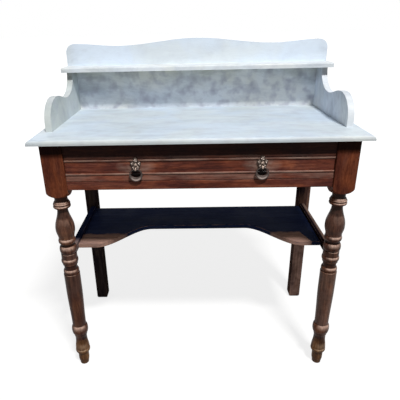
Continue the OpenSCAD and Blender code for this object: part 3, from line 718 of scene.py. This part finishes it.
berries = bpy.data.node_groups.new("berries", "GeometryNodeTree")
berries.is_modifier = True
for label, kind in (("Places", "NodeSocketGeometry"), ("Size", "NodeSocketFloat"),
                    ("Flatness", "NodeSocketFloat"), ("Finish", "NodeSocketMaterial")):
    berries.interface.new_socket(label, in_out="INPUT", socket_type=kind)
berries.interface.new_socket("Berries", in_out="OUTPUT", socket_type="NodeSocketGeometry")
given = add(berries, "NodeGroupInput").outputs
ball = add(berries, "GeometryNodeMeshIcoSphere", [("Radius", 1.0), ("Subdivisions", 2)])
least, most = 0.85, 1.1
uneven = add(berries, "FunctionNodeRandomValue", [(2, least), (3, most), ("Seed", 4)],
             data_type="FLOAT")
wide = times(berries, given["Size"], uneven.outputs[1])
size = add(berries, "ShaderNodeCombineXYZ", [(0, wide), (1, wide),
                                             (2, times(berries, wide, given["Flatness"]))])
spread = add(berries, "GeometryNodeInstanceOnPoints", [("Points", given["Places"]),
                                                       ("Instance", ball.outputs["Mesh"]),
                                                       ("Scale", size.outputs[0])])
whole = add(berries, "GeometryNodeRealizeInstances", [(0, spread.outputs[0])])
coloured = add(berries, "GeometryNodeSetMaterial", [("Geometry", whole.outputs[0]),
                                                    ("Material", given["Finish"])])
add(berries, "NodeGroupOutput", [(0, coloured.outputs[0])])


def berry_places(x):
    """A bunch of berries on the upper leaf and a smaller one on each other leaf, as (x, y, z)."""
    places = []
    spiral, spacing, taller = 2.4, 0.0017, 1.2
    berry_y = face_low.y - 0.0031
    for tilt, far, count in ((90, 0.0128, 6), (18, 0.0102, 4), (162, 0.0102, 4),
                             (306, 0.0104, 3), (234, 0.0104, 3)):
        a = math.radians(tilt)
        for i in range(count):
            turned_by, out = spiral * i, spacing * math.sqrt(i)
            places.append((x + far * math.cos(a) + out * math.cos(turned_by), berry_y,
                           plate_z + far * math.sin(a) + taller * out * math.sin(turned_by)))
    return places


leaf_points, leaf_rows = 120, 16
boss_r, eye_half_wide, eye_r, eye_half_thick = 0.0065, 0.0025, 0.00345, 0.00105
for side, x in (("left", -pull_x), ("right", pull_x)):
    back_plane = face_low.y - 0.00005
    leaves = [[(x + leaf_radius(a) * math.cos(a), back_plane, plate_z + leaf_radius(a) * math.sin(a))
               for a in turn_of(leaf_points)]]
    for t in (1 - i / leaf_rows for i in range(leaf_rows - 1)):
        leaves.append([(x + t * leaf_radius(a) * math.cos(a), face_low.y - leaf_relief(a, t),
                        plate_z + t * leaf_radius(a) * math.sin(a)) for a in turn_of(leaf_points)])
    boss = [[(x + boss_r * math.cos(a), y, plate_z + boss_r * math.sin(a)) for a in turn_of(40)]
            for y in (face_low.y + 0.003, face_low.y - 0.0004)]
    eye = []
    for a in turn_of(40):
        row = []
        for b in turn_of(16):
            aside = eye_half_wide * math.copysign(abs(math.cos(b)) ** 0.6, math.cos(b))
            reach = eye_r + eye_half_thick * math.sin(b)
            row.append((x + aside, eye_y + reach * math.cos(a), eye_z + reach * math.sin(a)))
        eye.append(row)
    neck = [[(x + w * math.cos(a), y, z + h * math.sin(a)) for a in turn_of(20)]
            for y, z, w, h in ((face_low.y - 0.0005, eye_z + 0.0026, 0.0030, 0.0032),
                               (face_low.y - 0.0020, eye_z + 0.0018, 0.0024, 0.0025),
                               (face_low.y - 0.0044, eye_z + 0.0004, 0.0020, 0.0016))]
    plate = from_shells(f"leafy_plate_{side}",
                        [shell(leaves), shell(boss), shell(eye, capped=False), shell(neck)], brass)
    settle(plate, "drawer", "pull_brass", f"pull_plate_{side}")
    seeds = bpy.data.meshes.new("berry_places")
    seeds.from_pydata(berry_places(x), [], [])
    bunch = made_by(berries, f"berries_{side}", seeds, size=0.0015, flatness=1.0, finish=berry_brass)
    settle(bunch, "drawer", "pull_brass")

ring_low, ring_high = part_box("pull_ring_right")
ring_r = (ring_high.x - ring_low.x) / 2
ring_z = (ring_high.z + ring_low.z) / 2
ring_top, ring_side, ring_foot = 0.0038, 0.0049, 0.0126
hole_wide, hole_high = ring_r - ring_side, ring_r - (ring_top + ring_foot) / 2
hole_rise = (ring_foot - ring_top) / 2


def held_and_lit_foot(tree, place):
    """The middle of a ring's thick foot, polished by the fingers that pull it and painted with a
    highlight on its lower part.
    """
    reach = from_pull(tree, place, ring_z)
    middle = times(tree, between(tree, reach, 0.0165, 0.0145),
                   between(tree, reach, 0.0095, 0.0125))
    return times(tree, middle, grows("z", ring_z - 0.004, ring_z - 0.013)(tree, place))


ring_brass = cast_brass("ring_brass", colour(0.070, 0.053, 0.047), colour(0.42, 0.34, 0.305),
                        held_and_lit_foot)
foot_fullness = 0.00045
for side, x in (("left", -pull_x), ("right", pull_x)):
    loops = []
    for a in turn_of(96):
        outer_x, outer_z = ring_r * math.sin(a), ring_r * math.cos(a)
        inner_x, inner_z = hole_wide * math.sin(a), hole_rise + hole_high * math.cos(a)
        middle_x, half_x = (outer_x + inner_x) / 2, (outer_x - inner_x) / 2
        middle_z, half_z = (outer_z + inner_z) / 2, (outer_z - inner_z) / 2
        half_deep = ring_top / 2 + foot_fullness * (1 - math.cos(a))
        loops.append([(x + middle_x + half_x * math.cos(b), eye_y + half_deep * math.sin(b),
                       ring_z + middle_z + half_z * math.cos(b)) for b in turn_of(20)])
    ring = from_shells(f"ring_{side}", [shell(loops, capped=False)], ring_brass)
    settle(ring, f"{side}_ring", "ring_brass", f"pull_ring_{side}")

# ---- Marble ----
# All six pieces are sawn from one white marble with blue-grey veins, rubbed and polished. The top
# has a moulded edge; the uprights stand on it on iron dowels and carry the narrow shelf and crest.


def veined_marble(name, shift, lean, cloudy, ground, fleck, veins, faded_and_shaded=None, fade_and_shade_tone=None):
    """White marble with blue-grey veins and clouds that lie along its bed."""
    marble = bpy.data.materials.new(name)
    marble.use_nodes = True
    tree = marble.node_tree
    finish = tree.nodes["Principled BSDF"]
    place = add(tree, "ShaderNodeTexCoord").outputs["Object"]
    bed = add(tree, "ShaderNodeMapping", [("Vector", place), ("Location", shift), ("Rotation", lean),
                                          ("Scale", (0.55, 1.5, 1.3))]).outputs[0]
    drift = noise(tree, bed, 4.2, 7.0, 0.6, 1.3)
    hair = noise(tree, bed, 11.0, 8.0, 0.66, 2.0)
    cloud = noise(tree, bed, 7.0, 5.0, 0.6, 0.8)
    speck = noise(tree, place, 30.0, 2.5, 0.5)
    sugar = noise(tree, place, 620.0, 2.0, 0.5)
    # A vein lies where a drifting value crosses its middle.
    vein, thin = (
        between(tree, sums(tree, "ABSOLUTE", sums(tree, "SUBTRACT", value, crossing)),
                0.0, breadth, 1.0, 0.0)
        for value, crossing, breadth in ((drift, 0.5, 0.045), (hair, 0.48, 0.022)))
    fade = between(tree, cloud, 0.4, 0.62)
    grey = tint(tree, 1.0, ground, colour(0.62, 0.66, 0.70), "MULTIPLY")
    base = tint(tree, between(tree, cloud, 0.42, 0.7, 0.0, cloudy), ground, grey)
    wash = tint(tree, between(tree, noise(tree, place, 6.5, 3.0, 0.5, 0.4), 0.40, 0.60),
                colour(0.99, 0.97, 0.91), colour(0.97, 1.0, 1.04))
    base = tint(tree, 0.6, base, wash, "MULTIPLY")
    base = tint(tree, times(tree, between(tree, speck, 0.46, 0.74), fleck), base,
                colour(0.47, 0.48, 0.57))
    base = tint(tree, times(tree, times(tree, vein, fade), 0.4 * veins), base,
                colour(0.33, 0.37, 0.43))
    base = tint(tree, times(tree, thin, 0.2 * veins), base, colour(0.42, 0.46, 0.50))
    # The top is faded at its edges; below the narrow shelf the uprights are darkened by painted shade.
    if faded_and_shaded is not None:
        base = tint(tree, faded_and_shaded(tree, place), base, fade_and_shade_tone, "MULTIPLY")
    tree.links.new(base, finish.inputs["Base Color"])
    tree.links.new(between(tree, sums(tree, "ADD", cloud, times(tree, speck, 0.4)),
                           0.5, 0.9, 0.34, 0.5), finish.inputs["Roughness"])
    finish.inputs["Specular IOR Level"].default_value = 0.28
    bump = add(tree, "ShaderNodeBump", [("Strength", 0.12), ("Distance", 0.0003), ("Height", sugar)])
    tree.links.new(bump.outputs[0], finish.inputs["Normal"])
    return marble


def handled_edges(tree, place):
    """Where the top has lost its blue: along its moulded front edge and towards the back."""
    edge_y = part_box("marble_top")[0].y
    patchy = between(tree, noise(tree, place, 9.0, 3.0, 0.5), 0.4, 0.62, 0.3, 1.0)
    rear = times(tree, grows("y", 0.02, 0.19)(tree, place), 0.8)
    return larger(tree, grows("y", edge_y + 0.0085, edge_y + 0.002)(tree, place),
                  times(tree, rear, patchy))


def shade_under_shelf(low, high):
    """Painted shade below the narrow shelf, between two heights, in patches."""
    def shade_below_shelf(tree, place):
        patchy = between(tree, noise(tree, place, 14.0, 3.0, 0.5), 0.35, 0.6, 0.5, 1.0)
        return times(tree, grows("z", low, high)(tree, place), patchy)
    return shade_below_shelf


# Below the narrow shelf, shade is painted on the back and on both side uprights.
wing_shade = colour(0.50, 0.46, 0.38)
for name, source, arris, marble in (
        ("moulded_top", "marble_top", 0.0006, veined_marble(
            "moulded_top", shift=(0.0, 0.0, 0.0), lean=(0.1, 0.15, 0.05), cloudy=0.45,
            ground=colour(0.65, 0.74, 0.83), fleck=0.3, veins=0.55,
            faded_and_shaded=handled_edges, fade_and_shade_tone=colour(1.0, 0.95, 0.88))),
        ("upright_back", "splash_back", 0.0012, veined_marble(
            "upright_back", shift=(0.7, 0.4, 0.2), lean=(0.2, 0.5, -0.3), cloudy=0.7,
            ground=colour(0.88, 0.91, 0.95), fleck=0.95, veins=0.8,
            faded_and_shaded=shade_under_shelf(0.84, 0.912), fade_and_shade_tone=colour(0.72, 0.70, 0.60))),
        ("upright_left", "splash_left", 0.0014, veined_marble(
            "upright_left", shift=(1.3, 0.2, 0.9), lean=(0.6, 0.1, 0.4), cloudy=0.5,
            ground=colour(0.63, 0.68, 0.68), fleck=0.35, veins=0.8,
            faded_and_shaded=shade_under_shelf(0.87, 0.915), fade_and_shade_tone=wing_shade)),
        ("upright_right", "splash_right", 0.0014, veined_marble(
            "upright_right", shift=(1.9, 0.6, 0.1), lean=(0.5, 0.2, 0.3), cloudy=0.5,
            ground=colour(0.78, 0.83, 0.90), fleck=0.35, veins=0.8,
            faded_and_shaded=shade_under_shelf(0.87, 0.915), fade_and_shade_tone=wing_shade)),
        ("narrow_shelf", "splash_shelf", 0.001, veined_marble(
            "narrow_shelf", shift=(2.6, 1.2, 0.5), lean=(0.1, 0.1, 0.2), cloudy=0.35,
            ground=colour(0.78, 0.82, 0.85), fleck=0.3, veins=0.8)),
        ("shaped_crest", "splash_crest", 0.0014, veined_marble(
            "shaped_crest", shift=(3.1, 0.9, 1.4), lean=(0.1, 0.45, 0.1), cloudy=0.3,
            ground=colour(0.76, 0.84, 0.93), fleck=0.12, veins=0.45))):
    eased(name, source, marble, "stand", "marble", arris=arris)

# ---- Where it stands ----
# A plain pale floor under soft light from the front and right, seen as the photograph sees it. The
# sky looks white, and it lights the washstand at a fifth of that, beside one lamp.


def background(tree):
    """One for a ray that shows the background: straight on, in a gloss or through glass."""
    ray = add(tree, "ShaderNodeLightPath").outputs
    return larger(tree, ray["Is Camera Ray"],
                  larger(tree, ray["Is Glossy Ray"], ray["Is Transmission Ray"]))


half_floor = 40.0
floor_mesh = bpy.data.meshes.new("floor")
floor_mesh.from_pydata([(-half_floor, -half_floor, 0), (half_floor, -half_floor, 0),
                        (half_floor, half_floor, 0), (-half_floor, half_floor, 0)],
                       [], [(0, 1, 2, 3)])
floor = bpy.data.objects.new("floor", floor_mesh)
bpy.context.scene.collection.objects.link(floor)
paper = bpy.data.materials.new("pale_floor")
paper.use_nodes = True
tree = paper.node_tree
pale = tree.nodes["Principled BSDF"]
pale.inputs["Base Color"].default_value = colour(0.27, 0.27, 0.27)
pale.inputs["Roughness"].default_value = 0.9
pale.inputs["Specular IOR Level"].default_value = 0.1
place = add(tree, "ShaderNodeTexCoord").outputs["Object"]
reach = add(tree, "ShaderNodeVectorMath", [(0, place)], operation="LENGTH").outputs["Value"]
near, far, near_glow = 1.0, 3.0, 0.80
glow = times(tree, background(tree), between(tree, reach, near, far, near_glow, 1.0))
lift = add(tree, "ShaderNodeEmission", [("Strength", glow)])
both = add(tree, "ShaderNodeAddShader", [(0, pale.outputs[0]), (1, lift.outputs[0])])
tree.links.new(both.outputs[0], tree.nodes["Material Output"].inputs[0])
floor_mesh.materials.append(paper)

world = bpy.data.worlds.new("studio")
bpy.context.scene.world = world
world.use_nodes = True
tree = world.node_tree
sky = tree.nodes["Background"]
sky.inputs["Color"].default_value = colour(1.0, 1.0, 1.0)
sky_light = 0.20
tree.links.new(between(tree, background(tree), 0.0, 1.0, sky_light, 1.0), sky.inputs["Strength"])

shine_way = Vector((-0.40, 1.0, -1.78)).normalized()
lamp_far, brightness, aim = 6.0, 3.0, Vector((0.0, 0.0, 0.5))
lamp = bpy.data.lights.new("key", "AREA")
lamp.shape = "RECTANGLE"
lamp.size, lamp.size_y = 0.9, 0.45
lamp.energy = brightness * math.pi * lamp_far ** 2
lamp.color = (1.0, 0.99, 0.97)
key = bpy.data.objects.new("key", lamp)
key.location = aim - lamp_far * shine_way
key.rotation_mode = "QUATERNION"
key.rotation_quaternion = shine_way.to_track_quat("-Z", "Y")
bpy.context.scene.collection.objects.link(key)

# The camera stands where the photograph was taken from, as fitted to the corners of the pieces.
lens = bpy.data.cameras.new("camera")
lens.lens = 37.18
lens.sensor_width = 36.0
lens.shift_x, lens.shift_y = 0.0459, -0.0012
lens.clip_end = 200.0
camera = bpy.data.objects.new("camera", lens)
camera.rotation_mode = "QUATERNION"
yaw, pitch, roll = (math.radians(a) for a in (-1.51, -23.18, -1.34))
ahead = Vector((math.sin(yaw) * math.cos(pitch), math.cos(yaw) * math.cos(pitch), math.sin(pitch)))
level = Vector((math.cos(yaw), -math.sin(yaw), 0.0))
upright = level.cross(ahead)
right = math.cos(roll) * level + math.sin(roll) * upright
up = -math.sin(roll) * level + math.cos(roll) * upright
camera.location = (-0.0204, -1.2531, 1.0608)
camera.rotation_quaternion = Matrix((right, up, -ahead)).transposed().to_quaternion()
bpy.context.scene.collection.objects.link(camera)
bpy.context.scene.camera = camera
bpy.context.scene.view_settings.view_transform = "Standard"
